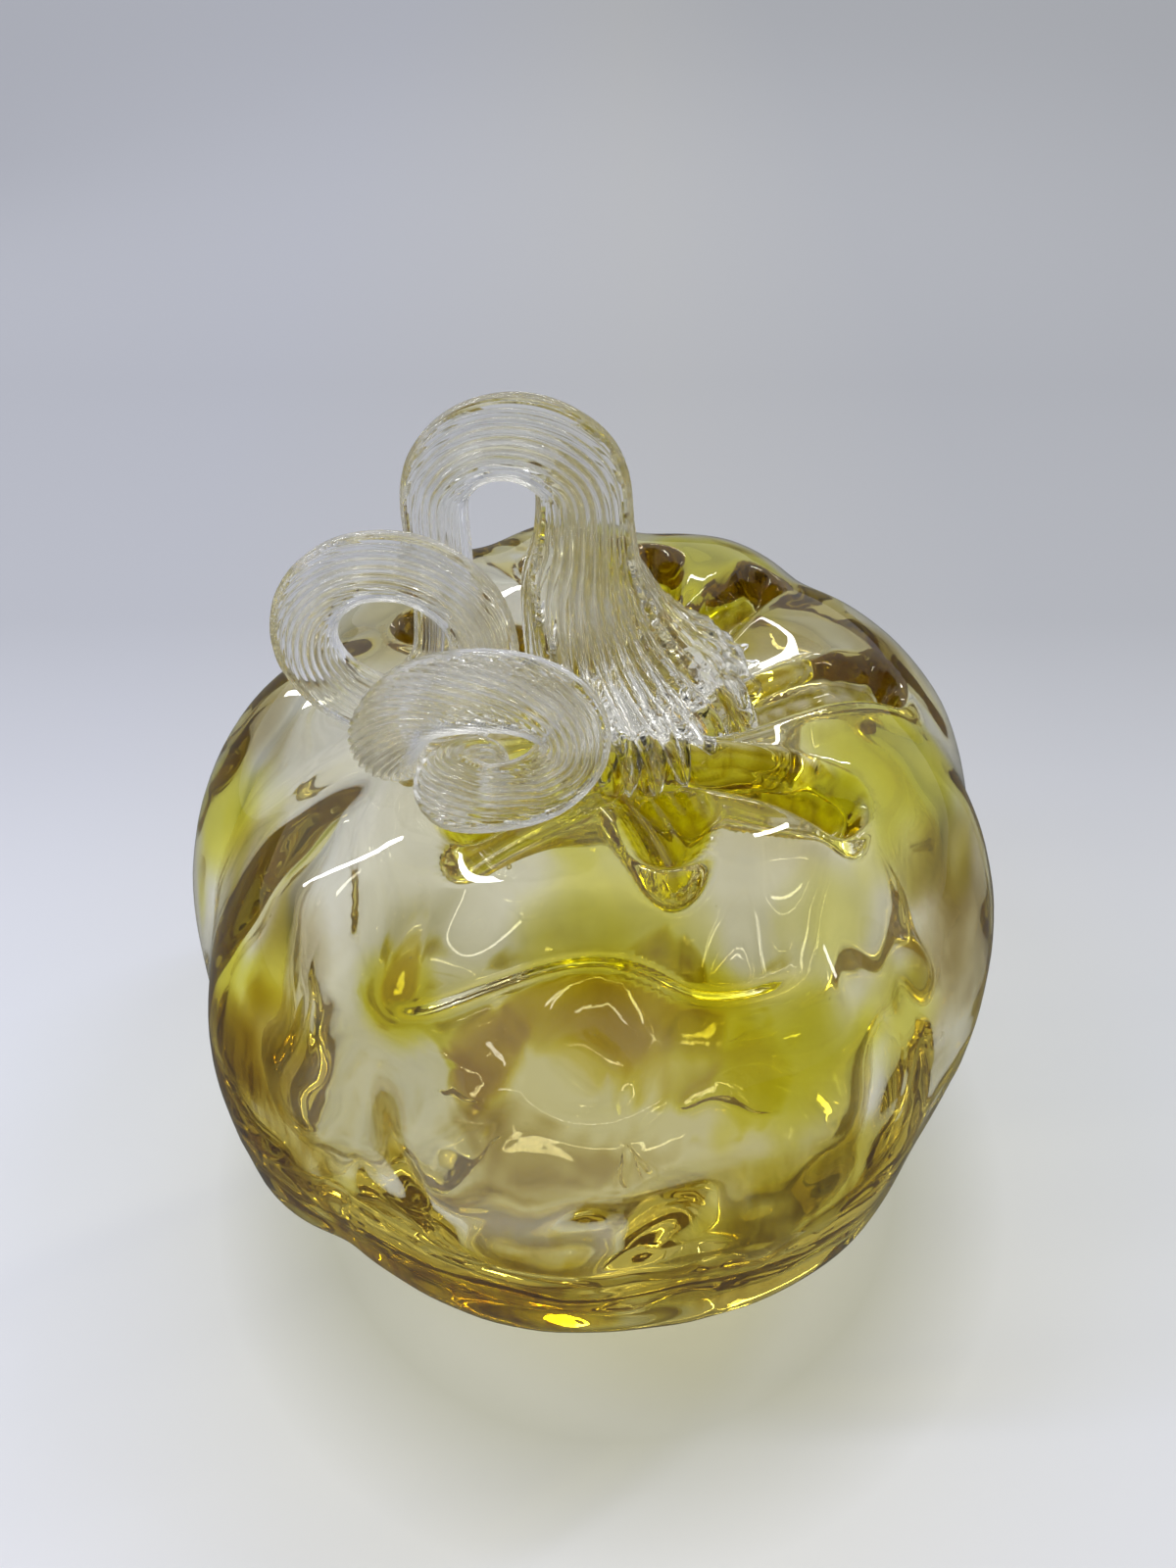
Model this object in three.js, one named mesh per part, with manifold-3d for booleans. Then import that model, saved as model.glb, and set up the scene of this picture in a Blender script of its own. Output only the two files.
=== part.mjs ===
// Glass pumpkin: a blown, lobed vessel of clear glass with a ribbed stem wound on its crown.
// Millimetres, +Z up. The origin is the middle of the flat base, on the surface it stands on.
// +X is right, and -Y is the front, where the stem's last loop hangs over the crown.

import * as THREE from 'three';
import { mergeVertices } from 'three/addons/utils/BufferGeometryUtils.js';
import Module from 'manifold-3d';

// Driving dimensions of the blown body
const bodyRadius = 74.5; // axis to the widest part of a lobe
const bodyHeight = 136; // base to the top of the lobes, before the crown is pushed in
const waistHeight = 66; // base to the widest level
const squareness = 2.6; // 2 is an ellipse, more is boxier
const hollowSquareness = 1.8; // the same for the hollow's lower half, a bowl in the thick base
const sideWall = 8.5; // glass between the two skins at the waist
const crownWall = 8; // glass under the tops of the lobes
const baseWall = 20; // glass over the flat base
const bowlCut = 4; // how much the hollow's flat floor takes off its rounded bowl
const baseCut = 2; // ground off the rounded bottom to give the flat base
const holeRadius = 10; // where the body was cracked off the blowpipe
const crownDimple = 10; // how far the crown is pushed in
const dimpleSpread = 25; // reach of that push from the crown's centre
const crownOffset = { x: 6.5, y: -3 }; // the crown's centre, off the axis as blown by hand
const offsetSpread = 40; // how far from the crown that offset dies away
const creaseDepth = 8; // pinched creases in the outer skin
const creaseInnerDepth = 6; // the same creases as they show inside
const fluteDepth = 2.2; // shallow valleys that carry the creases down the sides
const fluteHalfAngle = 9; // degrees
const driftStart = 0.25; // the creases keep to their crown direction down to this share of the way
const driftEnd = 0.8; // and have turned to their base direction by this one

// Below the waist the flutes stay in the outer skin and fade from the hollow, to this share
const hollowFlute = 0.2;
const fadeStart = 0.45;
const fadeEnd = 0.75;

// Some creases also run in under the base, as grooves that start in a point
const grooveStart = 33;
const grooveFull = 46;
const grooveEnd = 68;
const grooveFade = 2;
const grooveTipHalfWidth = 1.5;
const grooveHalfWidth = 6.5;
const innerGroove = 1.6; // depth in the hollow's floor, as a share of the outer depth

// Each crease: its direction at the crown and at the base, in degrees, how much further than the
// others the lobe after it swells, and its depth under the base. Then its line on the crown, from
// one point to another, and half its width there.
const creases = [
  { crown: -1, base: 2, swell: 0.5, groove: 0.8, from: [15, -7], to: [46, 3], halfWidth: 6 },
  { crown: 43, base: 45, swell: 1.5, groove: 0, from: [12, 12], to: [27, 27], halfWidth: 6 },
  { crown: 80, base: 84, swell: 1.5, groove: 0, from: [4, 17], to: [8, 31], halfWidth: 6 },
  { crown: 115, base: 118, swell: 1, groove: 0, from: [-6, 16], to: [-11, 29], halfWidth: 6 },
  { crown: 158, base: 158, swell: 1, groove: 0.4, from: [-15, 8], to: [-31, 13], halfWidth: 6 },
  { crown: 201, base: 205, swell: 4, groove: 2.2, from: [-16, -6], to: [-30, -13], halfWidth: 6 },
  { crown: 241, base: 230, swell: 0, groove: 1.2, from: [-2, -17], to: [-23, -33], halfWidth: 6.5 },
  { crown: 283, base: 284, swell: 1.5, groove: 3, from: [0, -18.5], to: [8, -33], halfWidth: 8 },
  { crown: 318, base: 330, swell: 0.5, groove: 2, from: [3, -17], to: [34, -26], halfWidth: 6.5 },
];

// Driving dimensions of the stem
const ribCount = 24; // ribs left by the optic mould, all round the gather
const ribShare = 0.055; // rib height on the drawn cane, as a share of its radius
const fingerShare = 0.12; // the same at the foot, where the ribs splay into fingers
const ribTwist = 40; // degrees that the ribs turn from foot to tip
const seatGap = 0.35; // between the foot and the crown that it is fused to
const rootDepth = 12; // how far the foot's blank starts below the crown, before it is fitted
const perchReach = 38; // from the axis to where the curl comes down to the crown

// The foot and neck: height above the floors of the creases, sideways shift and radius of the gather
const neckLevels = [
  { rise: 0, x: 2, y: 1.5, radius: 15.8 },
  { rise: 5, x: 2, y: 1.5, radius: 16.2 },
  { rise: 9, x: 0.4, y: 1.8, radius: 14.8 },
  { rise: 14, x: -2.6, y: 2.1, radius: 12.8 },
  { rise: 21, x: -5.8, y: 2.5, radius: 10.9 },
  { rise: 30, x: -7.9, y: 3, radius: 8.8 },
  { rise: 38, x: -7.8, y: 3.4, radius: 6.9 },
];

// Places from here on are sideways from the crown's centre, and up from the crown at the perch.
// The arch turns counter-clockwise, seen from the front, and comes down as the leg.
const arch = {
  x: -18.3, y: 3.3, z: 30.6, radius: 11, from: 25, to: 170, points: 6,
  startCane: 6.2, endCane: 4.5,
};
const leg = [
  { x: -29.1, y: 1.8, z: 23, cane: 4.45 },
  { x: -28.7, y: -1, z: 14.5, cane: 4.4 },
  { x: -29.9, y: -5, z: 7.8, cane: 4.35 },
];

// The curl turns clockwise from the leg: first the ring, then the last loop.
// Each key gives the turns made so far, the centre and radius of the turn, and the cane's radius.
const curlKeys = [
  { turns: 0.02, x: -34.5, y: -10.4, z: 17.6, radius: 13.4, cane: 4.3 },
  { turns: 0.5, x: -34.3, y: -11.2, z: 17.2, radius: 13.2, cane: 4.4 },
  { turns: 0.8, x: -34.1, y: -13, z: 17, radius: 12, cane: 4.5 },
  { turns: 1, x: -27.9, y: -17.2, z: 17.2, radius: 10.1, cane: 4.5 },
  { turns: 1.25, x: -23.4, y: -26.4, z: 12.2, radius: 11.6, cane: 4.8 },
  { turns: 1.5, x: -20.5, y: -30.6, z: 14.6, radius: 10.2, cane: 5 },
  { turns: 1.75, x: -18.7, y: -32, z: 18, radius: 9.8, cane: 4.5 },
  { turns: 2, x: -19.5, y: -35.4, z: 19.4, radius: 9, cane: 4.2 },
];
const curlPoints = 20;

// The tail turns back behind the last loop in about half a turn, in a plane that leans back
const tuck = {
  x: -20.3, y: -30.4, z: 7.9, radius: 5.7, lean: 63, sweep: 170, points: 4,
  startCane: 4.1, endCane: 4.1, reach: 3,
};

// How finely the facets follow the forms
const columnsPerLobe = 10;
const crownRowStep = 4.5;
const crownRowsEnd = 52;
const sideRows = 13;
const innerRowShare = 0.5;
const creaseCrowding = 0.07; // how much closer the columns stand beside the creases
const pitRadius = 1; // first ring round the pit, on the form that the foot is fitted to
const stemRings = 62;
const tipRings = 5; // rings that round off the tip
const weldDistance = 1e-4; // points nearer than this are one
const gapSamples = 400; // points on the stem's line between which its gap to itself is measured
const passSpacing = 2.8; // passes that close along the line, in cane widths, are one bend

const degrees = Math.PI / 180;

function smoothStep(low, high, value) {
  const share = Math.min(Math.max((value - low) / (high - low), 0), 1);
  return share * share * (3 - 2 * share);
}

function mix(a, b, share) {
  return a + (b - a) * share;
}

// The two skins of the body, as sizes of one formula
const outerSkin = {
  radius: bodyRadius,
  lowSquareness: squareness,
  top: bodyHeight,
  bottom: -baseCut,
  floor: 0,
  pinch: creaseDepth,
  lowFlute: 1,
  groove: 1,
};
const innerSkin = {
  radius: bodyRadius - sideWall,
  lowSquareness: hollowSquareness,
  top: bodyHeight - crownWall,
  bottom: baseWall - bowlCut,
  floor: baseWall,
  pinch: creaseInnerDepth,
  lowFlute: hollowFlute,
  groove: innerGroove,
};

// Direction of crease number i at a polar angle from the crown (0) to the base (PI), in radians
function creaseAzimuth(i, polar) {
  const crease = creases[i % creases.length];
  const wholeTurns = Math.floor(i / creases.length) * 360;
  const drift = smoothStep(driftStart, driftEnd, polar / Math.PI);
  return (mix(crease.crown, crease.base, drift) + wholeTurns) * degrees;
}

// How deep a point is in the nearest crease on the crown, from 0 at its lip to 1
function creasePinch(x, y) {
  let nearest = 1;
  for (const { from, to, halfWidth } of creases) {
    const ax = to[0] - from[0];
    const ay = to[1] - from[1];
    const share = ((x - from[0]) * ax + (y - from[1]) * ay) / (ax * ax + ay * ay);
    const along = Math.min(Math.max(share, 0), 1);
    const apart = Math.hypot(x - from[0] - along * ax, y - from[1] - along * ay);
    nearest = Math.min(nearest, apart / halfWidth);
  }
  return (1 - nearest ** 2) ** 2;
}

// How deep a crease runs in under the base, at a distance from the axis and from its own line
function grooveDepth(crease, radius, aside) {
  const widening = smoothStep(grooveStart, grooveFull, radius);
  const halfWidth = mix(grooveTipHalfWidth, grooveHalfWidth, widening);
  const across = Math.max(1 - (aside / halfWidth) ** 2, 0) ** 2;
  const begins = smoothStep(grooveStart - grooveFade, grooveStart + grooveFade, radius);
  return crease.groove * across * begins * (1 - smoothStep(grooveFull, grooveEnd, radius));
}

// How far the crown is pushed in, at a distance from its centre
function dimpleAt(reach) {
  return crownDimple * Math.exp(-((reach / dimpleSpread) ** 2));
}

// A point of a skin, at a share of the way across a lobe and a polar angle
function skinPoint(skin, lobe, share, polar) {
  const start = creaseAzimuth(lobe, polar);
  const end = creaseAzimuth(lobe + 1, polar);
  const azimuth = mix(start, end, share);
  const cosine = Math.cos(polar);
  const upper = cosine > 0;
  const square = upper ? squareness : skin.lowSquareness;
  const reach = skin.radius * Math.abs(Math.sin(polar)) ** (2 / square);
  const rise = Math.sign(cosine) * Math.abs(cosine) ** (2 / square);
  const pole = upper ? skin.top - waistHeight : waistHeight - skin.bottom;
  const fromCrease = Math.min(share, 1 - share) * (end - start);
  const fade = smoothStep(fadeStart, fadeEnd, polar / Math.PI);
  const valley = fluteDepth * mix(1, skin.lowFlute, fade);
  const flute = valley * Math.exp(-((fromCrease / (fluteHalfAngle * degrees)) ** 2));
  const swell = creases[lobe].swell * Math.sin(Math.PI * share) ** 2;
  const radius = reach + (swell - flute) * Math.min(reach / crownRowsEnd, 1);
  const x = radius * Math.cos(azimuth);
  const y = radius * Math.sin(azimuth);
  let z = waistHeight + pole * rise;
  if (upper) {
    z -= dimpleAt(reach) + skin.pinch * creasePinch(x, y);
  } else {
    const nearest = creases[(share < 0.5 ? lobe : lobe + 1) % creases.length];
    z = Math.max(z, skin.floor) + skin.groove * grooveDepth(nearest, radius, fromCrease * radius);
  }
  const offset = upper ? Math.exp(-((reach / offsetSpread) ** 2)) : 0;
  return new THREE.Vector3(x + crownOffset.x * offset, y + crownOffset.y * offset, z);
}

// The polar angle at which the upper half of a skin has a given radius
function polarAtRadius(skin, radius) {
  return Math.asin((radius / skin.radius) ** (squareness / 2));
}

// The polar angles of the rows, close together on the crown and wider down the sides
function rowAngles(skin, startRadius, share) {
  const rows = [];
  const crownRows = Math.round(((crownRowsEnd - startRadius) / crownRowStep) * share);
  for (let k = 0; k < crownRows; k += 1) {
    rows.push(polarAtRadius(skin, mix(startRadius, crownRowsEnd, k / crownRows)));
  }
  const first = polarAtRadius(skin, crownRowsEnd);
  const rowsBelow = Math.round(sideRows * share);
  for (let k = 0; k < rowsBelow; k += 1) {
    rows.push(mix(first, Math.PI, k / rowsBelow));
  }
  return rows;
}

// The rings of a skin, each with the same columns, drawn closer together beside the creases
function skinRings(skin, startRadius, share) {
  return rowAngles(skin, startRadius, share).map((polar) => {
    const ring = [];
    for (let lobe = 0; lobe < creases.length; lobe += 1) {
      for (let k = 0; k < columnsPerLobe; k += 1) {
        const even = k / columnsPerLobe;
        const across = even - creaseCrowding * Math.sin(2 * Math.PI * even);
        ring.push(skinPoint(skin, lobe, across, polar));
      }
    }
    return ring;
  });
}

// A closed body from rings of points, with a centre point on each end that isn't joined up.
// Seen from the last ring towards the first, the points run counter-clockwise round the rings.
function solidFromRings(rings, startCentre, endCentre) {
  const count = rings[0].length;
  const points = rings.flat();
  const faces = [];
  for (let r = 0; r + 1 < rings.length; r += 1) {
    for (let j = 0; j < count; j += 1) {
      const next = (j + 1) % count;
      const a = r * count + j;
      const b = r * count + next;
      const c = (r + 1) * count + next;
      const d = (r + 1) * count + j;
      faces.push(a, d, c, a, c, b);
    }
  }
  if (startCentre) {
    const centre = points.push(startCentre) - 1;
    for (let j = 0; j < count; j += 1) {
      faces.push(centre, j, (j + 1) % count);
    }
  }
  if (endCentre) {
    const centre = points.push(endCentre) - 1;
    const last = (rings.length - 1) * count;
    for (let j = 0; j < count; j += 1) {
      faces.push(centre, last + ((j + 1) % count), last + j);
    }
  }
  const geometry = new THREE.BufferGeometry();
  geometry.setAttribute(
    'position',
    new THREE.Float32BufferAttribute(points.flatMap((p) => [p.x, p.y, p.z]), 3),
  );
  geometry.setIndex(faces);
  return geometry;
}

// The blown body: down the outer skin, closed at the flat base, and back up the inner skin to
// the rim of the blowpipe hole
function bodyGeometry() {
  const outer = skinRings(outerSkin, holeRadius, 1);
  const inner = skinRings(innerSkin, holeRadius, innerRowShare);
  const outerShell = solidFromRings(outer, null, new THREE.Vector3(0, 0, outerSkin.floor));
  const innerShell = solidFromRings(inner, null, new THREE.Vector3(0, 0, innerSkin.floor));
  const outerCount = outerShell.attributes.position.count;
  const columns = outer[0].length;
  const positions = [
    ...outerShell.attributes.position.array,
    ...innerShell.attributes.position.array,
  ];
  const faces = [...outerShell.index.array];
  const inside = innerShell.index.array;
  for (let k = 0; k < inside.length; k += 3) {
    faces.push(inside[k] + outerCount, inside[k + 2] + outerCount, inside[k + 1] + outerCount);
  }
  for (let j = 0; j < columns; j += 1) {
    const next = (j + 1) % columns;
    faces.push(outerCount + j, j, next, outerCount + j, next, outerCount + next);
  }
  const geometry = new THREE.BufferGeometry();
  geometry.setAttribute('position', new THREE.Float32BufferAttribute(positions, 3));
  geometry.setIndex(faces);
  return geometry;
}

// The outer skin as a filled form without the hole, raised by the seat gap, to fit the foot to
function crownForm() {
  const rings = skinRings(outerSkin, pitRadius, 1);
  const pit = new THREE.Vector3(crownOffset.x, crownOffset.y, bodyHeight - crownDimple);
  const form = solidFromRings(rings, pit, new THREE.Vector3(0, 0, outerSkin.floor));
  form.translate(0, 0, seatGap);
  return form;
}

// Height of the creases' floors round the crown's centre
function pitHeight() {
  return bodyHeight - crownDimple - creaseDepth;
}

// Height of the crown between its creases, at the perch
function perchHeight() {
  const rise = (1 - (perchReach / bodyRadius) ** squareness) ** (1 / squareness);
  return waistHeight + (bodyHeight - waistHeight) * rise - dimpleAt(perchReach);
}

// Value of a named number along a list of keys, at a number of turns
function keyValue(keys, name, turns) {
  const last = keys.length - 1;
  const k = Math.max(keys.findIndex((key, i) => i === last || keys[i + 1].turns >= turns), 0);
  const a = keys[Math.min(k, last - 1)];
  const b = keys[Math.min(k, last - 1) + 1];
  return mix(a[name], b[name], (turns - a.turns) / (b.turns - a.turns));
}

// The stem's centre line as points with the gather's radius at each: neck, arch, leg, curl and tail
function stemStations() {
  const stations = [];
  const addFrom = (level, x, y, z, radius) => {
    const at = new THREE.Vector3(crownOffset.x + x, crownOffset.y + y, level + z);
    stations.push({ at, radius });
  };
  addFrom(pitHeight(), 0, 0, -rootDepth, neckLevels[0].radius);
  for (const level of neckLevels) {
    addFrom(pitHeight(), level.x, level.y, level.rise, level.radius);
  }
  const perch = perchHeight();
  for (let k = 0; k < arch.points; k += 1) {
    const share = k / (arch.points - 1);
    const clock = mix(arch.from, arch.to, share) * degrees;
    const x = arch.x + arch.radius * Math.cos(clock);
    const z = arch.z + arch.radius * Math.sin(clock);
    addFrom(perch, x, arch.y, z, mix(arch.startCane, arch.endCane, share));
  }
  for (const station of leg) {
    addFrom(perch, station.x, station.y, station.z, station.cane);
  }
  const firstTurn = curlKeys[0].turns;
  const lastTurn = curlKeys.at(-1).turns;
  for (let k = 0; k < curlPoints; k += 1) {
    const turns = mix(firstTurn, lastTurn, k / (curlPoints - 1));
    const clock = -(90 + 360 * turns) * degrees;
    const radius = keyValue(curlKeys, 'radius', turns);
    const x = keyValue(curlKeys, 'x', turns) + radius * Math.cos(clock);
    const z = keyValue(curlKeys, 'z', turns) + radius * Math.sin(clock);
    addFrom(perch, x, keyValue(curlKeys, 'y', turns), z, keyValue(curlKeys, 'cane', turns));
  }
  for (let k = 1; k <= tuck.points; k += 1) {
    const share = k / tuck.points;
    const turned = share * tuck.sweep * degrees;
    const upright = tuck.radius * Math.cos(turned);
    const x = tuck.x - tuck.radius * Math.sin(turned);
    const y = tuck.y - upright * Math.sin(tuck.lean * degrees);
    const z = tuck.z + upright * Math.cos(tuck.lean * degrees);
    addFrom(perch, x, y, z, mix(tuck.startCane, tuck.endCane, share));
  }
  const end = stations.at(-1).at.clone();
  end.x += tuck.reach;
  stations.push({ at: end, radius: tuck.endCane });
  return stations;
}

// The stem's centre line, and the gather's radius at a share of the way along its stations
function stemLine(stations) {
  return new THREE.CatmullRomCurve3(stations.map((s) => s.at), false, 'catmullrom');
}

function gatherRadius(stations, t) {
  const place = t * (stations.length - 1);
  const before = Math.min(Math.floor(place), stations.length - 2);
  return mix(stations[before].radius, stations[before + 1].radius, place - before);
}

// The least gap between passes of the stem that are further apart along it than across it
function leastGap(stations) {
  const line = stemLine(stations);
  const samples = [];
  let along = 0;
  for (let k = 0; k < gapSamples; k += 1) {
    const t = k / (gapSamples - 1);
    const at = line.getPoint(t);
    along += k > 0 ? at.distanceTo(samples[k - 1].at) : 0;
    samples.push({ at, along, radius: gatherRadius(stations, t) * (1 + ribShare) });
  }
  let least = Infinity;
  samples.forEach((a, i) => {
    for (const b of samples.slice(i + 1)) {
      const reach = a.radius + b.radius;
      if (b.along - a.along > passSpacing * reach) {
        least = Math.min(least, a.at.distanceTo(b.at) - reach);
      }
    }
  });
  return least;
}

// The gather swept along that line, ribbed all round, with a rounded tip
function stemBlank() {
  const stations = stemStations();
  const line = stemLine(stations);
  const rings = [];
  const side = new THREE.Vector3(1, 0, 0);
  const sectionPoints = 2 * ribCount;
  const total = stemRings + tipRings;
  for (let k = 0; k < total; k += 1) {
    const tipShare = Math.max(k - stemRings + 1, 0) / (tipRings + 1);
    const t = Math.min(k, stemRings - 1) / (stemRings - 1);
    const centre = line.getPoint(t);
    const ahead = line.getTangent(t);
    const gather = gatherRadius(stations, t);
    centre.addScaledVector(ahead, gather * Math.sin(tipShare * Math.PI * 0.5));
    const radius = gather * Math.cos(tipShare * Math.PI * 0.5);
    side.addScaledVector(ahead, -side.dot(ahead)).normalize();
    const across = new THREE.Vector3().crossVectors(ahead, side);
    const flare = smoothStep(arch.startCane, neckLevels[0].radius, gather);
    const rib = mix(ribShare, fingerShare, flare);
    const twist = ribTwist * degrees * t;
    const ring = [];
    for (let j = 0; j < sectionPoints; j += 1) {
      const angle = (2 * Math.PI * j) / sectionPoints + twist;
      const out = radius * (1 + rib * (j % 2 === 0 ? 1 : -1));
      ring.push(
        centre.clone()
          .addScaledVector(side, out * Math.cos(angle))
          .addScaledVector(across, out * Math.sin(angle)),
      );
    }
    rings.push(ring);
  }
  rings.reverse();
  const tip = line.getPoint(1).addScaledVector(line.getTangent(1), stations.at(-1).radius);
  return solidFromRings(rings, tip, stations[0].at);
}

// Solid cutting: a closed geometry becomes a solid, and the result a geometry again
const wasm = await Module();
wasm.setup();

function toSolid(geometry) {
  const merged = mergeVertices(geometry, weldDistance);
  return new wasm.Manifold(new wasm.Mesh({
    numProp: 3,
    vertProperties: new Float32Array(merged.attributes.position.array),
    triVerts: new Uint32Array(merged.index.array),
  }));
}

function toGeometry(solid) {
  const mesh = solid.getMesh();
  const geometry = new THREE.BufferGeometry();
  geometry.setAttribute('position', new THREE.Float32BufferAttribute(mesh.vertProperties, 3));
  geometry.setIndex([...mesh.triVerts]);
  return geometry;
}

// The stem: the blank, with its foot fitted to the crown
function stemGeometry() {
  return toGeometry(toSolid(stemBlank()).subtract(toSolid(crownForm())));
}

function glass(color) {
  return new THREE.MeshStandardMaterial({ color, roughness: 0.05, metalness: 0 });
}

function namedMesh(name, geometry, material) {
  geometry.computeVertexNormals();
  const mesh = new THREE.Mesh(geometry, material);
  mesh.name = name;
  return mesh;
}

const group = new THREE.Group();
group.add(namedMesh('body', bodyGeometry(), glass('#d8d3a0')));
group.add(namedMesh('stem', stemGeometry(), glass('#e4e3d8')));

console.log(`least gap of the stem to itself: ${leastGap(stemStations()).toFixed(2)} mm`);

export default group;
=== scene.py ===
from math import cos, pi, radians, sin

import bpy
import numpy as np
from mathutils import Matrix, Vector


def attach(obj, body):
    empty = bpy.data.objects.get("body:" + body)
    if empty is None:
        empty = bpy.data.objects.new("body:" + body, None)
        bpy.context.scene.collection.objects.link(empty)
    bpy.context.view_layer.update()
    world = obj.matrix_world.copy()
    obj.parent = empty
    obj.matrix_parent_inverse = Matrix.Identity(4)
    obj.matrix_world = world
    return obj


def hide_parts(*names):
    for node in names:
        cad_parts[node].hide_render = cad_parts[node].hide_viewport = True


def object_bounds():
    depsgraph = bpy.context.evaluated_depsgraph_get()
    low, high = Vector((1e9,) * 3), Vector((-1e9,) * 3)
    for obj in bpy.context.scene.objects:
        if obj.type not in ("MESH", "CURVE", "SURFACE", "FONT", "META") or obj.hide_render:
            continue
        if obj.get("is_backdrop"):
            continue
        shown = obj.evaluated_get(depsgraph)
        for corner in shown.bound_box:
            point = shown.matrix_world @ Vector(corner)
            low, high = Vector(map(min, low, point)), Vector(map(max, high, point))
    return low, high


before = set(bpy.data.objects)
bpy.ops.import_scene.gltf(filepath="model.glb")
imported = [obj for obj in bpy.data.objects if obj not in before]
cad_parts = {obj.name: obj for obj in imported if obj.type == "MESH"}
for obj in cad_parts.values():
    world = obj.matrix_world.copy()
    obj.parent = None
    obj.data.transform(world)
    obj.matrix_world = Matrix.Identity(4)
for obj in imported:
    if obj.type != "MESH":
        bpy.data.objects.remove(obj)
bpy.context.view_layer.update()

mm = 0.001

# The camera: a phone held about 24 cm away, in front of the pumpkin and above it, and tilted down
# onto the crown. Its lens is as wide as a 27 mm one on 36 mm film.
camera_place = (-0.8 * mm, -145.5 * mm, 253.6 * mm)
camera_tilt = radians(45.9)
camera_lens = 27
nearest_view = 10 * mm

camera = bpy.data.objects.new("camera", bpy.data.cameras.new("camera"))
camera.data.lens = camera_lens
camera.data.clip_start = nearest_view
camera.location = camera_place
camera.rotation_euler = (pi / 2 - camera_tilt, 0, 0)
bpy.context.scene.collection.objects.link(camera)
bpy.context.scene.camera = camera

# The body: one bubble of clear glass, blown into a lobed mould. While it was soft, nine creases were
# pinched and pushed in round its crown. The wall is thickest at the base and the crown, and its only
# opening is the hole where it was cracked off the blowpipe, which the stem's foot covers.
body_radius = 74.5 * mm
body_height = 136 * mm
waist_height = 66 * mm
side_wall = 8.5 * mm
crown_wall = 8 * mm
base_wall = 20 * mm
base_cut = 2 * mm  # how much the flat base takes off the rounded body
bowl_cut = 4 * mm  # and the hollow's flat floor off its rounded bowl
polish = 0.2 * mm  # taken off the outer skin, which keeps it inside the solid's own facets
squareness = 2.6
hole_radius = 10 * mm
crown_dimple = 10 * mm
dimple_spread = 25 * mm
crown_offset = (6.5 * mm, -3 * mm)
offset_spread = 40 * mm
flat_crown_radius = 52 * mm
flute_depth = 2.2 * mm
flute_half_angle = radians(9)
drift_start, drift_end = 0.25, 0.8  # shares of the way down, over which creases turn aside
front_start, front_end = 0.08, 0.36  # how far forward the flutes begin and end their fading
terrace_height = 0.035  # of the small steps down the sides of a crease, as a share of its depth
terraces = 20
lip_rise = 4  # how fast terraces and colour set in from a crease's lip
groove_start, groove_full, groove_end = 33 * mm, 44 * mm, 61 * mm  # distances from the axis
groove_fade = 2 * mm
groove_tip_half_width = 1.5 * mm
groove_half_width = 6.5 * mm
punt_radius = 16 * mm
punt_height = 2.5 * mm
ledge_front = 46.5 * mm
ledge_half_width = 2.2 * mm
ledge_middle = -2 * mm
ledge_reach = (22 * mm, 34 * mm)
ledge_wave = 36 * mm
ledge_wave_height = 1.1 * mm
ripple_size = 30 * mm
wrinkle_size = 11 * mm
wrinkle_seed = 10  # added to a skin's own seed
still_height = 30 * mm
columns_per_lobe = 32
column_crowding = 0.07
outer_crown_step, outer_side_step = 0.75 * mm, 1.8 * mm
inner_crown_step, inner_side_step = 0.9 * mm, 2.0 * mm
side_length = 1.15  # of a skin's side between the crown and the base, against a quarter circle's arc

# Each crease: its direction at the crown and at the base in degrees, how far in mm the lobe after it
# swells, and how deep in mm it runs in under the base
creases = (
    (-1, 2, 0.5, 0.8), (43, 45, 1.5, 0), (80, 84, 1.5, 0), (115, 118, 1, 0), (158, 158, 1, 0.4),
    (201, 205, 4, 2.2), (241, 230, 0, 1.2), (283, 284, 1.5, 3), (318, 330, 0.5, 2),
)
crease_count = len(creases)
crease_crown = np.radians([crease[0] for crease in creases] + [360 + creases[0][0]])
crease_base = np.radians([crease[1] for crease in creases] + [360 + creases[0][1]])
lobe_swell = np.array([crease[2] for crease in creases]) * mm
groove_depth = np.array([crease[3] for crease in creases] + [creases[0][3]]) * mm

# The same creases on the crown: where each starts and ends, and half its width, in mm
crown_lines = np.array((
    (15, -7, 46, 3, 6), (12, 12, 27, 27, 6), (4, 17, 8, 31, 6), (-6, 16, -11, 29, 6),
    (-15, 8, -31, 13, 6), (-16, -6, -30, -13, 6), (-2, -17, -20, -29.5, 6), (0, -18.5, 8, -33, 7.2),
    (3, -17, 34, -26, 6),
)) * mm

# The two skins of the wall. A skin's flutes fade out towards the base by the share called fading.
# Only the inner skin has the ledge, where the thick crown ends on the front in a wavy fold.
outer_skin = {
    "radius": body_radius - polish,
    "top": body_height,
    "bottom": -base_cut,
    "floor": 0,
    "low squareness": squareness,
    "fading": 0.9,
    "fade from": 0.28,
    "fade to": 0.55,
    "groove": 1.0,
    "pinch": 8 * mm,
    "crease shift": 0,
    "ledge": 0,
    "ripple": 0.7 * mm,
    "wrinkle": 0.05 * mm,
    "seed": 1,
}
inner_skin = {
    "radius": body_radius - side_wall,
    "top": body_height - crown_wall,
    "bottom": base_wall - bowl_cut,
    "floor": base_wall,
    "low squareness": 1.8,
    "fading": 0.8,
    "fade from": 0.45,
    "fade to": 0.75,
    "groove": 1.6,
    "pinch": 6 * mm,
    "crease shift": 3 * mm,
    "ledge": 5 * mm,
    "ripple": 1.4 * mm,
    "wrinkle": 0.16 * mm,
    "seed": 2,
}


def smooth_step(low, high, value):
    share = np.clip((value - low) / (high - low), 0, 1)
    return share * share * (3 - 2 * share)


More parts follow.
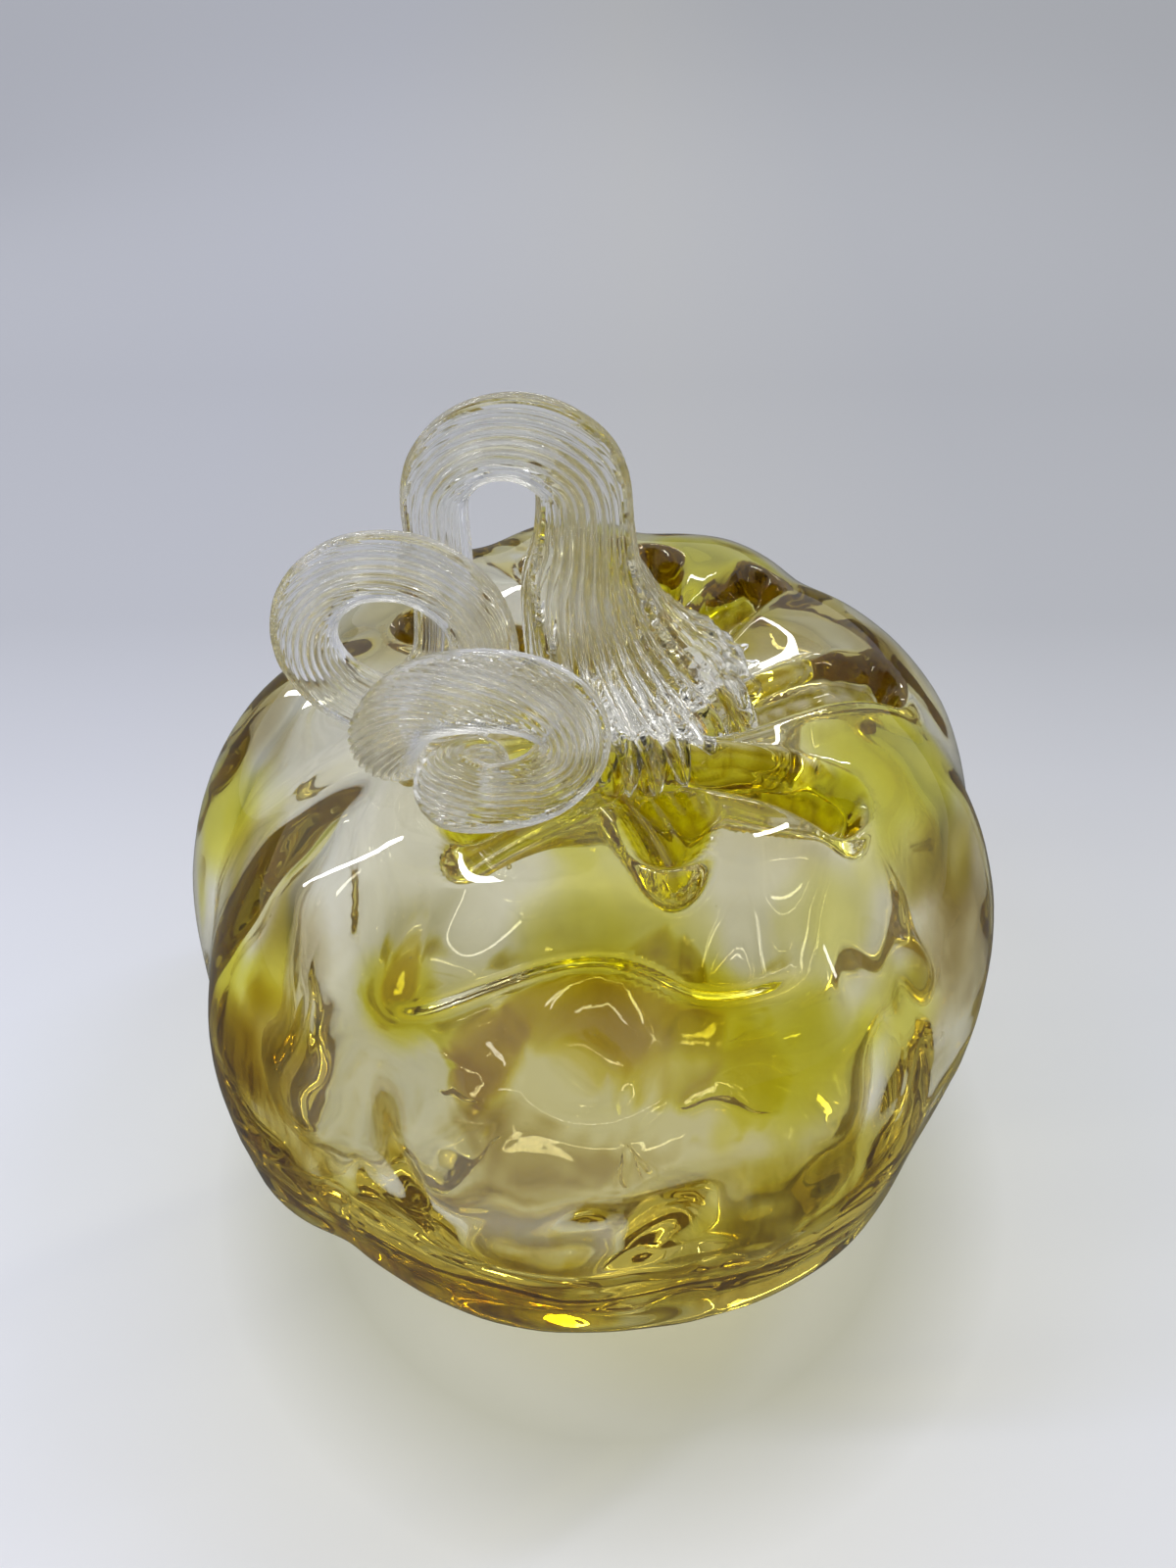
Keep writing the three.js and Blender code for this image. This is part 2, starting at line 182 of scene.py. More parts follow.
def mix(a, b, share):
    return a + (b - a) * share


def unevenness(places, size, seed):
    """A soft random field from about -1 to 1, with lumps about half the size across."""
    chance = np.random.default_rng(seed)
    waves = 6
    total = 0
    for wave in range(waves):
        direction = chance.normal(size=3)
        direction /= np.linalg.norm(direction)
        total = total + np.sin(places @ direction * (2 * pi / size) + chance.uniform(0, 2 * pi))
    return 2 * total / waves


def crease_pinch(x, y):
    """How deep points are in the nearest crease on the crown, from 0 at its lip to 1."""
    deepest = 0
    for x0, y0, x1, y1, half_width in crown_lines:
        ax, ay = x1 - x0, y1 - y0
        along = np.clip(((x - x0) * ax + (y - y0) * ay) / (ax * ax + ay * ay), 0, 1)
        near = np.hypot(x - x0 - along * ax, y - y0 - along * ay) / half_width
        deepest = np.maximum(deepest, np.maximum(1 - near ** 2, 0) ** 2)
    return deepest


def ledge_shares(x, y):
    """How far points are behind the ledge's fold, and how near they are to its edge, as shares."""
    fold = y + ledge_front - ledge_wave_height * np.cos(2 * pi * (x - ledge_middle) / ledge_wave)
    inside = (1 - smooth_step(*ledge_reach, np.abs(x - ledge_middle))) * (y < 0)
    behind = smooth_step(-ledge_half_width, ledge_half_width, fold)
    return behind * inside, np.exp(-(fold / ledge_half_width) ** 2) * inside


def groove_share(radius, aside):
    """How deep the groove under the base is at a distance from the axis and aside of its middle."""
    width = mix(groove_tip_half_width, groove_half_width, smooth_step(groove_start, groove_full, radius))
    across = np.maximum(1 - (aside / width) ** 2, 0) ** 2
    opening = smooth_step(groove_start - groove_fade, groove_start + groove_fade, radius)
    return across * opening * (1 - smooth_step(groove_full, groove_end, radius))


def skin_points(skin, lobe, share, polar):
    """Points of a skin at shares of the way across lobes and at polar angles from the crown, with
    how deep each is in a crease and how near it is to the ledge's edge."""
    drift = smooth_step(drift_start, drift_end, polar / pi)
    start = mix(crease_crown[lobe], crease_base[lobe], drift)
    end = mix(crease_crown[lobe + 1], crease_base[lobe + 1], drift)
    azimuth = mix(start, end, share)
    upper = np.cos(polar) > 0
    square = np.where(upper, squareness, skin["low squareness"])
    reach = skin["radius"] * np.abs(np.sin(polar)) ** (2 / square)
    rise = np.sign(np.cos(polar)) * np.abs(np.cos(polar)) ** (2 / square)
    pole = np.where(upper, skin["top"] - waist_height, waist_height - skin["bottom"])
    from_crease = np.minimum(share, 1 - share) * (end - start)
    front = smooth_step(front_start, front_end, -np.sin(azimuth))
    fade = front * skin["fading"] * smooth_step(skin["fade from"], skin["fade to"], polar / pi)
    flute = flute_depth * (1 - fade) * np.exp(-(from_crease / flute_half_angle) ** 2)
    swell = lobe_swell[lobe] * np.sin(pi * share) ** 2
    radius = reach + (swell - flute) * np.minimum(reach / flat_crown_radius, 1)
    x, y = radius * np.cos(azimuth), radius * np.sin(azimuth)
    pinch = upper * crease_pinch(x, y - skin["crease shift"])
    terraced = pinch + terrace_height * np.sin(terraces * pinch) * np.minimum(lip_rise * pinch, 1)
    behind, edge = ledge_shares(x, y)
    dimple = upper * crown_dimple * np.exp(-(reach / dimple_spread) ** 2)
    z = waist_height + pole * rise - dimple - skin["pinch"] * terraced - upper * skin["ledge"] * behind
    z = np.maximum(z, skin["floor"])
    nearest = np.where(share < 0.5, groove_depth[lobe], groove_depth[lobe + 1])
    z += ~upper * skin["groove"] * nearest * groove_share(radius, from_crease * radius)
    z += ~upper * punt_height * np.maximum(1 - (radius / punt_radius) ** 2, 0) ** 2
    offset = upper * np.exp(-(reach / offset_spread) ** 2)
    points = np.stack([x + crown_offset[0] * offset, y + crown_offset[1] * offset, z], axis=-1)
    ripples = np.clip(unevenness(points, ripple_size, skin["seed"]), -1, 1)
    wrinkles = unevenness(points, wrinkle_size, skin["seed"] + wrinkle_seed)
    sag = skin["ripple"] * (1 + ripples) / 2 + skin["wrinkle"] * (1 + wrinkles)
    sag *= smooth_step(hole_radius, 2 * hole_radius, reach)
    sag *= smooth_step(0, still_height, z - skin["floor"])
    points[..., :2] *= (1 - sag * np.sin(polar) / body_radius)[..., None]
    points[..., 2] -= sag * np.cos(polar)
    return points, pinch, upper * edge * (skin["ledge"] > 0)


def skin_rings(skin, crown_step, side_step):
    """Rings of points down a skin, from the rim of the pipe hole to the base."""
    crown_rows = round((flat_crown_radius - hole_radius) / crown_step)
    radii = np.linspace(hole_radius, flat_crown_radius, crown_rows, endpoint=False)
    crown_angles = np.arcsin((radii / skin["radius"]) ** (squareness / 2))
    first = np.arcsin((flat_crown_radius / skin["radius"]) ** (squareness / 2))
    side_rows = round(side_length * (pi - first) * skin["radius"] / side_step)
    side_angles = np.linspace(first, pi, side_rows, endpoint=False)
    polar = np.concatenate([crown_angles, side_angles])
    even = np.arange(columns_per_lobe) / columns_per_lobe
    crowded = even - column_crowding * np.sin(2 * pi * even)
    lobes = np.repeat(np.arange(crease_count), columns_per_lobe)[None, :]
    shares = np.tile(crowded, crease_count)[None, :]
    return skin_points(skin, lobes, shares, np.repeat(polar[:, None], lobes.size, axis=1))


def shell_faces(rows, columns, first, centre, turned):
    """Quads between rings and triangles round the centre point that closes the last ring."""
    ring, column = np.meshgrid(np.arange(rows - 1), np.arange(columns), indexing="ij")
    following = (column + 1) % columns
    quads = np.stack([
        ring * columns + column, (ring + 1) * columns + column,
        (ring + 1) * columns + following, ring * columns + following,
    ], axis=-1).reshape(-1, 4) + first
    last = first + (rows - 1) * columns
    fan = [(centre, last + (j + 1) % columns, last + j) for j in range(columns)]
    faces = [tuple(quad) for quad in quads.tolist()] + fan
    return [face[::-1] for face in faces] if turned else faces


outer_rings, outer_pinch, outer_edge = skin_rings(outer_skin, outer_crown_step, outer_side_step)
inner_rings, inner_pinch, inner_edge = skin_rings(inner_skin, inner_crown_step, inner_side_step)
columns = outer_rings.shape[1]
outer_count = outer_rings.shape[0] * columns + 1
points = np.concatenate([
    outer_rings.reshape(-1, 3), [[0, 0, outer_skin["floor"] + punt_height]],
    inner_rings.reshape(-1, 3), [[0, 0, inner_skin["floor"] + punt_height]],
])
pinches = np.concatenate([outer_pinch.ravel(), [0], inner_pinch.ravel(), [0]])
edges = np.concatenate([outer_edge.ravel(), [0], inner_edge.ravel(), [0]])
faces = shell_faces(outer_rings.shape[0], columns, 0, outer_count - 1, False)
faces += shell_faces(inner_rings.shape[0], columns, outer_count, len(points) - 1, True)
for column in range(columns):
    following = (column + 1) % columns
    faces.append((outer_count + column, column, following, outer_count + following))
body_mesh = bpy.data.meshes.new("blown_body")
body_mesh.from_pydata(points.tolist(), [], faces)
body_mesh.shade_smooth()
blown_body = bpy.data.objects.new("blown_body", body_mesh)
bpy.context.scene.collection.objects.link(blown_body)

# The colour in the body is mostly crushed coloured glass, which was rolled into the bubble and stretched by
# blowing. Each patch has its direction in degrees, its distance from the axis, height and size in
# mm, and how strong it is. The first rows are on the upper wall, and the rest on the base and foot.
# The last rows, low on the side wall, are painted reflection: dark zones where the thick wall reflects
# the colour of the base inside itself.
yellow = (0.84, 0.80, 0.05)
olive = (0.56, 0.47, 0.03)
brown = (0.40, 0.31, 0.13)
tan = (0.68, 0.59, 0.28)
amber = (0.68, 0.54, 0.02)
umber = (0.45, 0.33, 0.04)
clear = (0.99, 0.985, 0.97)
patches = (
    (yellow, 58, 33, 131, 18, 1.8), (tan, 25, 38, 130, 16, 1.2), (brown, 15, 52, 124, 9, 1.2),
    (yellow, 343, 52, 125, 18, 1.3), (brown, 336, 63, 114, 12, 1.1), (brown, 330, 70, 100, 14, 1.0),
    (brown, 208, 63, 113, 11, 0.7), (brown, 225, 63, 116, 8, 0.8), (yellow, 216, 69, 106, 11, 1.4),
    (yellow, 275, 49, 125, 13, 0.9), (yellow, 296, 67, 108, 13, 1.2), (yellow, 315, 67, 104, 10, 0.9),
    (brown, 182, 56, 120, 10, 1.0), (yellow, 192, 64, 110, 13, 1.2), (tan, 154, 39, 125, 16, 1.1),
    (yellow, 307, 56, 121, 9, 0.6), (tan, 311, 39, 124, 10, 0.6), (yellow, 265, 22, 131, 14, 1.4),
    # The two yellow patches at the ends of the ledge's fold are painted highlight, for bright yellow spots
    # of light there
    (yellow, 242, 56, 113, 7, 2.0), (yellow, 286, 56, 113, 7, 2.0),
    (amber, 40, 16, 0, 20, 1.9), (amber, 110, 16, 0, 20, 1.9), (amber, 180, 28, 0, 14, 2.4),
    (amber, 197, 34, 0, 13, 2.4), (amber, 160, 24, 0, 10, 1.4), (tan, 250, 46, 0, 26, 2.2),
    (tan, 284, 42, 0, 18, 1.4), (tan, 222, 40, 0, 18, 2.0), (yellow, 174, 45, 1, 12, 2.4),
    (olive, 160, 42, 1, 8, 2.0), (yellow, 10, 26, 0, 8, 2.6), (yellow, 346, 44, 2, 18, 2.6),
    (olive, 62, 44, 2, 9, 2.0), (olive, 128, 44, 2, 8, 2.0),
    # Painted reflection: dark umber, amber and olive zones on the lower wall, where it shows the base's
    # colour by reflection inside it
    (umber, 222, 72, 96, 11, 1.5), (umber, 216, 73, 82, 14, 1.5), (umber, 222, 74, 66, 14, 1.2),
    (umber, 216, 70, 46, 14, 0.9), (amber, 243, 72, 50, 15, 2.6), (amber, 262, 73, 54, 15, 2.6),
    (umber, 250, 70, 30, 18, 1.4), (olive, 284, 73, 62, 13, 1.1), (olive, 293, 73, 78, 12, 1.2),
    (olive, 302, 74, 84, 12, 1.0), (umber, 290, 72, 50, 12, 0.3),
)
patch_core, patch_rim = 0.35, 1.2  # a patch fades between these shares of its size
ragged_rims = ((22 * mm, 0.22, 3), (8 * mm, 0.12, 4))  # size, share of the patch's size, seed
crease_pigments = (
    (brown, 0.3), (brown, 0.3), (amber, 0.4), (brown, 0.3), (brown, 0.4), (brown, 0.5), (yellow, 2.0),
    (yellow, 2.2), (yellow, 2.0),
)
crease_spread = (15, 22)  # degrees from its direction, over which a crease's own colour ends
contour_lines = 22
contour_start = 0.03
contour_strength = 1.3
# Strength of the painted shade line along the ledge's fold
ledge_shade_line_strength = 1.3


def painted(points, pinches, edges):
    """Colour of the glass at points: clear, darkened by each patch and crease that reaches there, and by an
    amber line of painted shade along the ledge's fold.
    """
    colour = np.tile(np.array(clear), (len(points), 1))
    rim = 1 + sum(share * unevenness(points, size, seed) for size, share, seed in ragged_rims)
    for pigment, azimuth, reach, height, size, strength in patches:
        turn = radians(azimuth)
        centre = np.array([reach * cos(turn), reach * sin(turn), height]) * mm
        distance = np.linalg.norm(points - centre, axis=1) / (size * mm) * rim
        weight = strength * (1 - smooth_step(patch_core, patch_rim, distance))
        colour *= np.array(pigment) ** weight[:, None]
    azimuth = np.degrees(np.arctan2(points[:, 1] - crown_offset[1], points[:, 0] - crown_offset[0]))
    for (direction, *_), (pigment, strength) in zip(creases, crease_pigments):
        apart = np.abs((azimuth - direction + 180) % 360 - 180)
        own = 1 - smooth_step(*crease_spread, apart)
        colour *= np.array(pigment) ** (strength * own * np.minimum(lip_rise * pinches, 1))[:, None]
    contours = (0.5 + 0.5 * np.sin(contour_lines * pinches - 1)) ** 3 * (pinches > contour_start)
    colour *= np.array(olive) ** (contour_strength * contours[:, None])
    # Painted shade: an amber line along the ledge's wavy fold, for the dark line that the fold draws by
    # refraction
    return colour * np.array(amber) ** (ledge_shade_line_strength * edges[:, None])


tint = body_mesh.color_attributes.new("tint", "FLOAT_COLOR", "POINT")
colours = np.ones((len(points), 4))
colours[:, :3] = painted(points, pinches, edges)
tint.data.foreach_set("color", colours.ravel())


class Wire:
    """A value in a node tree. Python's operators on it add Math nodes to the same tree."""

    def __init__(self, tree, socket=None):
        self.tree = tree
        self.socket = socket

    def node(self, kind, settings=(), inputs=(), output=0):
        """Adds a node, with its settings first and then its inputs, and gives one of its outputs."""
        made = self.tree.nodes.new(kind)
        for name, value in dict(settings).items():
            if name == "stops":
                ramp = made.color_ramp.elements
                while len(ramp) < len(value):
                    ramp.new(0.5)
                for stop, (place, colour) in zip(ramp, value):
                    stop.position = place
                    stop.color = (*colour, 1)
            else:
                setattr(made, name, value)
        for name, value in dict(inputs).items():
            if isinstance(value, Wire):
                self.tree.links.new(value.socket, made.inputs[name])
            else:
                made.inputs[name].default_value = value
        return Wire(self.tree, made.outputs[output] if len(made.outputs) else None)

    def beside(self, name):
        """Another output of the same node."""
        return Wire(self.tree, self.socket.node.outputs[name])

    def maths(self, operation, *values):
        return self.node("ShaderNodeMath", {"operation": operation}, enumerate((self,) + values))

    def at_most(self, other):
        return self.maths("MINIMUM", other)

    def at_least(self, other):
        return self.maths("MAXIMUM", other)

    def __add__(self, other):
        return self.maths("ADD", other)

    def __sub__(self, other):
        return self.maths("SUBTRACT", other)

    def __rsub__(self, other):
        return self.node("ShaderNodeMath", {"operation": "SUBTRACT"}, {0: other, 1: self})

    def __mul__(self, other):
        return self.maths("MULTIPLY", other)

    def __truediv__(self, other):
        return self.maths("DIVIDE", other)

    def __pow__(self, other):
        return self.maths("POWER", other)

    __radd__ = __add__
    __rmul__ = __mul__


def new_material(name):
    """An empty material, and a wire to add its nodes with."""
    material = bpy.data.materials.new(name)
    material.use_nodes = True
    material.node_tree.nodes.clear()
    return material, Wire(material.node_tree)


glass_bend = 1.5  # index of refraction
rim_shade = 0.55  # shadow of glass that is seen edge-on, as a share of the shadow face-on
rim_power = 3


def blow(glass, tint, shadow, haze=None, density=0.0, bend=glass_bend):
    """Fills a material with clear glass, whose shadow is as faint as in a bright room. The haze is
    the colour that the glass takes on with its thickness."""
    smooth = glass.node("ShaderNodeBsdfPrincipled", (), {
        "Base Color": tint, "Roughness": 0.0, "IOR": bend, "Transmission Weight": 1.0,
    })
    rim_shadow = [rim_shade * part for part in shadow]
    facing_on = glass.node("ShaderNodeBsdfTransparent", (), {"Color": (*shadow, 1)})
    grazing = glass.node("ShaderNodeBsdfTransparent", (), {"Color": (*rim_shadow, 1)})
    slant = glass.node("ShaderNodeLayerWeight", (), {"Blend": 0.5}, output="Facing") ** rim_power
    let_through = glass.node("ShaderNodeMixShader", (), {0: slant, 1: facing_on, 2: grazing})
    shadow_ray = glass.node("ShaderNodeLightPath", output="Is Shadow Ray")
    lit_ray = shadow_ray.at_least(shadow_ray.beside("Is Diffuse Ray"))
    surface = glass.node("ShaderNodeMixShader", (), {0: lit_ray, 1: smooth, 2: let_through})
    ends = {"Surface": surface}
    if density:
        ends["Volume"] = glass.node("ShaderNodeVolumeAbsorption", (), {
            "Color": (*haze, 1), "Density": density,
        })
    glass.node("ShaderNodeOutputMaterial", (), ends)


# Low on the wall the patches' colour is doubled in upright streaks: painted reflection, for the streaky
# images of the base's colour that the rippled lower wall shows
strand_stretch = 0.18
strands_per_metre = 420.0
strand_detail = 2.0
strand_edges = (0.42, 0.6)
painted_streak_strength = 0.9
strand_heights = ((0.02, (0, 0, 0)), (0.03, (1, 1, 1)), (0.085, (1, 1, 1)), (0.104, (0, 0, 0)))
body_shadow = (0.96, 0.955, 0.91)
body_haze = (0.86, 0.80, 0.32)
body_density = 20.0

body_glass, glass = new_material("body_glass")
patch_tint = glass.node("ShaderNodeAttribute", {"attribute_name": "tint"})
place = glass.node("ShaderNodeTexCoord", output="Object")
height = glass.node("ShaderNodeSeparateXYZ", (), {0: place}, output="Z")
low = glass.node("ShaderNodeValToRGB", {"stops": strand_heights}, {0: height})
drawn = glass.node("ShaderNodeVectorMath", {"operation": "MULTIPLY"}, {
    0: place, 1: (1, 1, strand_stretch),
})
noise = glass.node("ShaderNodeTexNoise", (), {
    "Vector": drawn, "Scale": strands_per_metre, "Detail": strand_detail,
})
strands = glass.node("ShaderNodeMapRange", (), {
    "Value": noise, "From Min": strand_edges[0], "From Max": strand_edges[1],
})
painted_streak_tint = glass.node("ShaderNodeMix", {"data_type": "RGBA", "blend_type": "MULTIPLY"}, {
    0: strands * low * painted_streak_strength, 6: patch_tint, 7: patch_tint,
}, output=2)
blow(glass, painted_streak_tint, body_shadow, body_haze, body_density)
body_mesh.materials.append(body_glass)
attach(blown_body, "root")
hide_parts("body")

# The stem: a gather of clear glass, ribbed in an optic mould and dropped hot on the crown, where its
# ribs splay into fingers. It was then pulled out and wound into an arch, a ring and a last loop,
# which twists the ribs more and more.
rib_count = 26
points_per_rib = 8
smoothness = 10  # points between two stations of the centre line
cane_radius = 6.2 * mm
foot_radius = 19 * mm
cane_rib = 0.08  # height of a rib as a share of the gather's radius, on the drawn cane
finger_rib = 0.17  # and at the foot
bead_length = 3.2 * mm  # the chills along the fingers
bead_share = 0.25
even_twist = radians(40)
loop_twist = 5.0  # radians, over the last loop
loop_start = 0.62  # share of the stem's length, like the foot's end
foot_end = 0.2
least_radius = 0.02 * mm
seat_gap = 0.35 * mm
root_depth = 12 * mm
perch_reach = 38 * mm
crown_height = body_height - crown_dimple
pit_height = crown_height - outer_skin["pinch"]
hole_height = 0.9 * pit_height  # what lies lower than this is seen through the pipe hole
perch_rise = (1 - (perch_reach / body_radius) ** squareness) ** (1 / squareness)
perch_height = (waist_height + (body_height - waist_height) * perch_rise
                - crown_dimple * np.exp(-(perch_reach / dimple_spread) ** 2))

# Heights above the pit, sideways shifts and radii of the foot and neck, in mm
neck_levels = (
    (0, 2, 1.5, 15.8), (5, 2, 1.5, 16.2), (9, 0.4, 1.8, 14.8), (14, -2.6, 2.1, 12.8), (21, -5.8, 2.5, 10.9),
    (30, -7.9, 3, 8.8), (38, -7.8, 3.4, 6.9),
)
# From here on in mm from the crown's centre, and up from the crown at the perch
arch = {"x": -18.3, "y": 3.3, "z": 30.2, "radius": 11, "from": 25, "to": 170, "points": 6,
        "canes": (6.2, 4.5)}
leg = ((-29.1, 1.8, 23, 4.45), (-28.7, -1, 14.5, 4.4), (-29.9, -5, 7.8, 4.35))
# The curl's turns so far, and there its centre, its radius and the cane's radius
curl_keys = np.array((
    (0.02, -34.5, -10.4, 17.6, 13.4, 4.3), (0.5, -34.3, -11.2, 17.2, 13.2, 4.4),
    (0.8, -34.1, -13, 17, 12, 4.5), (1, -27.9, -17.2, 17.2, 10.1, 4.5),
    (1.25, -23.4, -26.4, 12.2, 11.6, 4.8), (1.5, -20.5, -30.6, 14.6, 10.2, 5),
    (1.75, -18.7, -32, 18, 9.8, 4.5), (2, -19.5, -35.4, 19.4, 9, 4.2),
))
curl_points = 20
tuck = {"x": -20.3, "y": -30.4, "z": 7.9, "radius": 5.7, "lean": 63, "sweep": 170, "points": 4,
        "cane": 4.8, "reach": 3}


def stem_stations():
    """Points of the stem's centre line with the gather's radius at each, in metres."""
    foot = [(0, 0, -root_depth / mm, neck_levels[0][3])]
    foot += [(x, y, rise, radius) for rise, x, y, radius in neck_levels]
    upper = []
    for share in np.linspace(0, 1, arch["points"]):
        clock = radians(mix(arch["from"], arch["to"], share))
        x = arch["x"] + arch["radius"] * cos(clock)
        z = arch["z"] + arch["radius"] * sin(clock)
        upper.append((x, arch["y"], z, mix(*arch["canes"], share)))
    upper += leg
    for turns in np.linspace(curl_keys[0, 0], curl_keys[-1, 0], curl_points):
        x, y, z, radius, cane = (np.interp(turns, curl_keys[:, 0], curl_keys[:, k]) for k in range(1, 6))
        clock = -radians(90 + 360 * turns)
        upper.append((x + radius * cos(clock), y, z + radius * sin(clock), cane))
    lean = radians(tuck["lean"])
    for turned in np.radians(tuck["sweep"]) * np.linspace(0, 1, tuck["points"] + 1)[1:]:
        upright = tuck["radius"] * cos(turned)
        x = tuck["x"] - tuck["radius"] * sin(turned)
        upper.append((x, tuck["y"] - upright * sin(lean), tuck["z"] + upright * cos(lean), tuck["cane"]))
    x, y, z, cane = upper[-1]
    upper.append((x + tuck["reach"], y, z, cane))
    stations = np.array(foot + upper) * mm
    stations[:, :2] += crown_offset
    stations[:, 2] += [pit_height] * len(foot) + [perch_height] * len(upper)
    return stations


stations = stem_stations()
line = bpy.data.curves.new("stem_line", "CURVE")
line.dimensions = "3D"
spline = line.splines.new("POLY")
spline.points.add(len(stations) - 1)
for point, (x, y, z, radius) in zip(spline.points, stations):
    point.co = (x, y, z, 1)
    point.radius = radius
stem_line = bpy.data.objects.new("stem_line", line)
bpy.context.scene.collection.objects.link(stem_line)


def new_tree(name, inputs):
    """A geometry tree with one named input for each size, and a wire on its inputs."""
    tree = bpy.data.node_groups.new(name, "GeometryNodeTree")
    tree.interface.new_socket("Geometry", in_out="INPUT", socket_type="NodeSocketGeometry")
    tree.interface.new_socket("Geometry", in_out="OUTPUT", socket_type="NodeSocketGeometry")
    for label, kind in inputs.items():
        tree.interface.new_socket(label, in_out="INPUT", socket_type="NodeSocket" + kind)
    return tree, Wire(tree).node("NodeGroupInput")


def keep(made, geometry, name, value, kind="FLOAT"):
    """Stores a value on the geometry under a name."""
    return made.node("GeometryNodeStoreNamedAttribute", {"data_type": kind}, {
        "Geometry": geometry, "Name": name, "Value": value,
    })


def kept(made, name, kind="FLOAT"):
    """Reads a value that was stored under a name."""
    return made.node("GeometryNodeInputNamedAttribute", {"data_type": kind}, {"Name": name})


def finish_tree(made, geometry, material):
    """Ends a tree in real geometry with its material."""
    geometry = made.node("GeometryNodeRealizeInstances", (), {"Geometry": geometry})
    geometry = made.node("GeometryNodeSetMaterial", (), {"Geometry": geometry, "Material": material})
    made.node("NodeGroupOutput", (), {"Geometry": geometry})


def grow(source, tree, values, name):
    """Runs a tree on an object and gives the result as a plain mesh object under a new name."""
    modifier = source.modifiers.new(name, "NODES")
    modifier.node_group = tree
    for item in tree.interface.items_tree:
        if item.in_out == "INPUT" and item.name in values:
            modifier[item.identifier] = values[item.name]
    bpy.context.view_layer.update()
    evaluated = source.evaluated_get(bpy.context.evaluated_depsgraph_get())
    grown = bpy.data.meshes.new_from_object(evaluated)
    grown.name = name
    source.modifiers.remove(modifier)
    piece = bpy.data.objects.new(name, grown)
    bpy.context.scene.collection.objects.link(piece)
    return piece


cane_tree, cane = new_tree("ribbed_cane", {
    "Ribs": "Int", "Points per rib": "Int", "Smoothness": "Int", "Cane rib": "Float", "Finger rib": "Float",
    "Bead length": "Float", "Bead share": "Float", "Even twist": "Float", "Loop twist": "Float",
    "Loop start": "Float", "Cane radius": "Float", "Foot radius": "Float", "Least radius": "Float",
    "Root depth": "Float", "Foot end": "Float", "Hole height": "Float", "Crown height": "Float",
    "Seat gap": "Float", "Body": "Object", "Glass": "Material",
})
curve = cane.node("GeometryNodeCurveSplineType", {"spline_type": "CATMULL_ROM"}, {"Curve": cane})
curve = cane.node("GeometryNodeSetSplineResolution", (), {
    "Geometry": curve, "Resolution": cane.beside("Smoothness"),
})
curve = cane.node("GeometryNodeResampleCurve", {"mode": "EVALUATED"}, {"Curve": curve})
gather = cane.node("GeometryNodeInputRadius")
factor = cane.node("GeometryNodeSplineParameter")
along = factor.beside("Length")
whole = cane.node("GeometryNodeSplineLength", output="Length")
to_tip = ((whole - along) / gather).at_most(1)
above_zero = 0.0001
tip = (1 - (1 - to_tip) ** 2).at_least(above_zero) ** 0.5
root = (along / cane.beside("Root depth")).at_most(1)
flare = cane.node("ShaderNodeMapRange", {"interpolation_type": "SMOOTHSTEP"}, {
    "Value": gather, "From Min": cane.beside("Cane radius"), "From Max": cane.beside("Foot radius"),
    "To Min": cane.beside("Cane rib"), "To Max": cane.beside("Finger rib"),
})
wound = cane.node("ShaderNodeMapRange", {"interpolation_type": "SMOOTHSTEP"}, {
    "Value": factor, "From Min": cane.beside("Loop start"), "From Max": 1.0,
    "To Min": 0.0, "To Max": cane.beside("Loop twist"),
})
curve = keep(cane, curve, "rib", flare)
curve = keep(cane, curve, "factor", factor)
curve = keep(cane, curve, "along", along)
curve = keep(cane, curve, "centre", cane.node("GeometryNodeInputPosition"), "FLOAT_VECTOR")
curve = cane.node("GeometryNodeSetCurveTilt", (), {
    "Curve": curve, "Tilt": factor * cane.beside("Even twist") + wound,
})
curve = cane.node("GeometryNodeSetCurveRadius", (), {
    "Curve": curve, "Radius": gather * tip * root + cane.beside("Least radius"),
})
section = cane.node("GeometryNodeCurvePrimitiveCircle", (), {
    "Resolution": cane.beside("Ribs") * cane.beside("Points per rib"), "Radius": 1.0,
})
section = keep(cane, section, "spoke", cane.node("GeometryNodeInputIndex"))
solid = cane.node("GeometryNodeCurveToMesh", (), {
    "Curve": curve, "Profile Curve": section, "Scale": cane.node("GeometryNodeInputRadius"),
    "Fill Caps": True,
})
crest = (kept(cane, "spoke") / cane.beside("Points per rib") * pi).maths("SINE").maths("ABSOLUTE")
beads = (kept(cane, "along") / cane.beside("Bead length") * (2 * pi)).maths("SINE")
beads = beads * cane.beside("Bead share") * (kept(cane, "rib") - cane.beside("Cane rib"))
middle = kept(cane, "centre", "FLOAT_VECTOR")
place = cane.node("GeometryNodeInputPosition")
spoke = cane.node("ShaderNodeVectorMath", {"operation": "SUBTRACT"}, {0: place, 1: middle})
ribbed = cane.node("ShaderNodeVectorMath", {"operation": "SCALE"}, {
    0: spoke, "Scale": 1 + (crest * 2 - 1) * (kept(cane, "rib") + beads),
})
ribbed = cane.node("ShaderNodeVectorMath", {"operation": "ADD"}, {0: middle, 1: ribbed})
solid = cane.node("GeometryNodeSetPosition", (), {"Geometry": solid, "Position": ribbed})

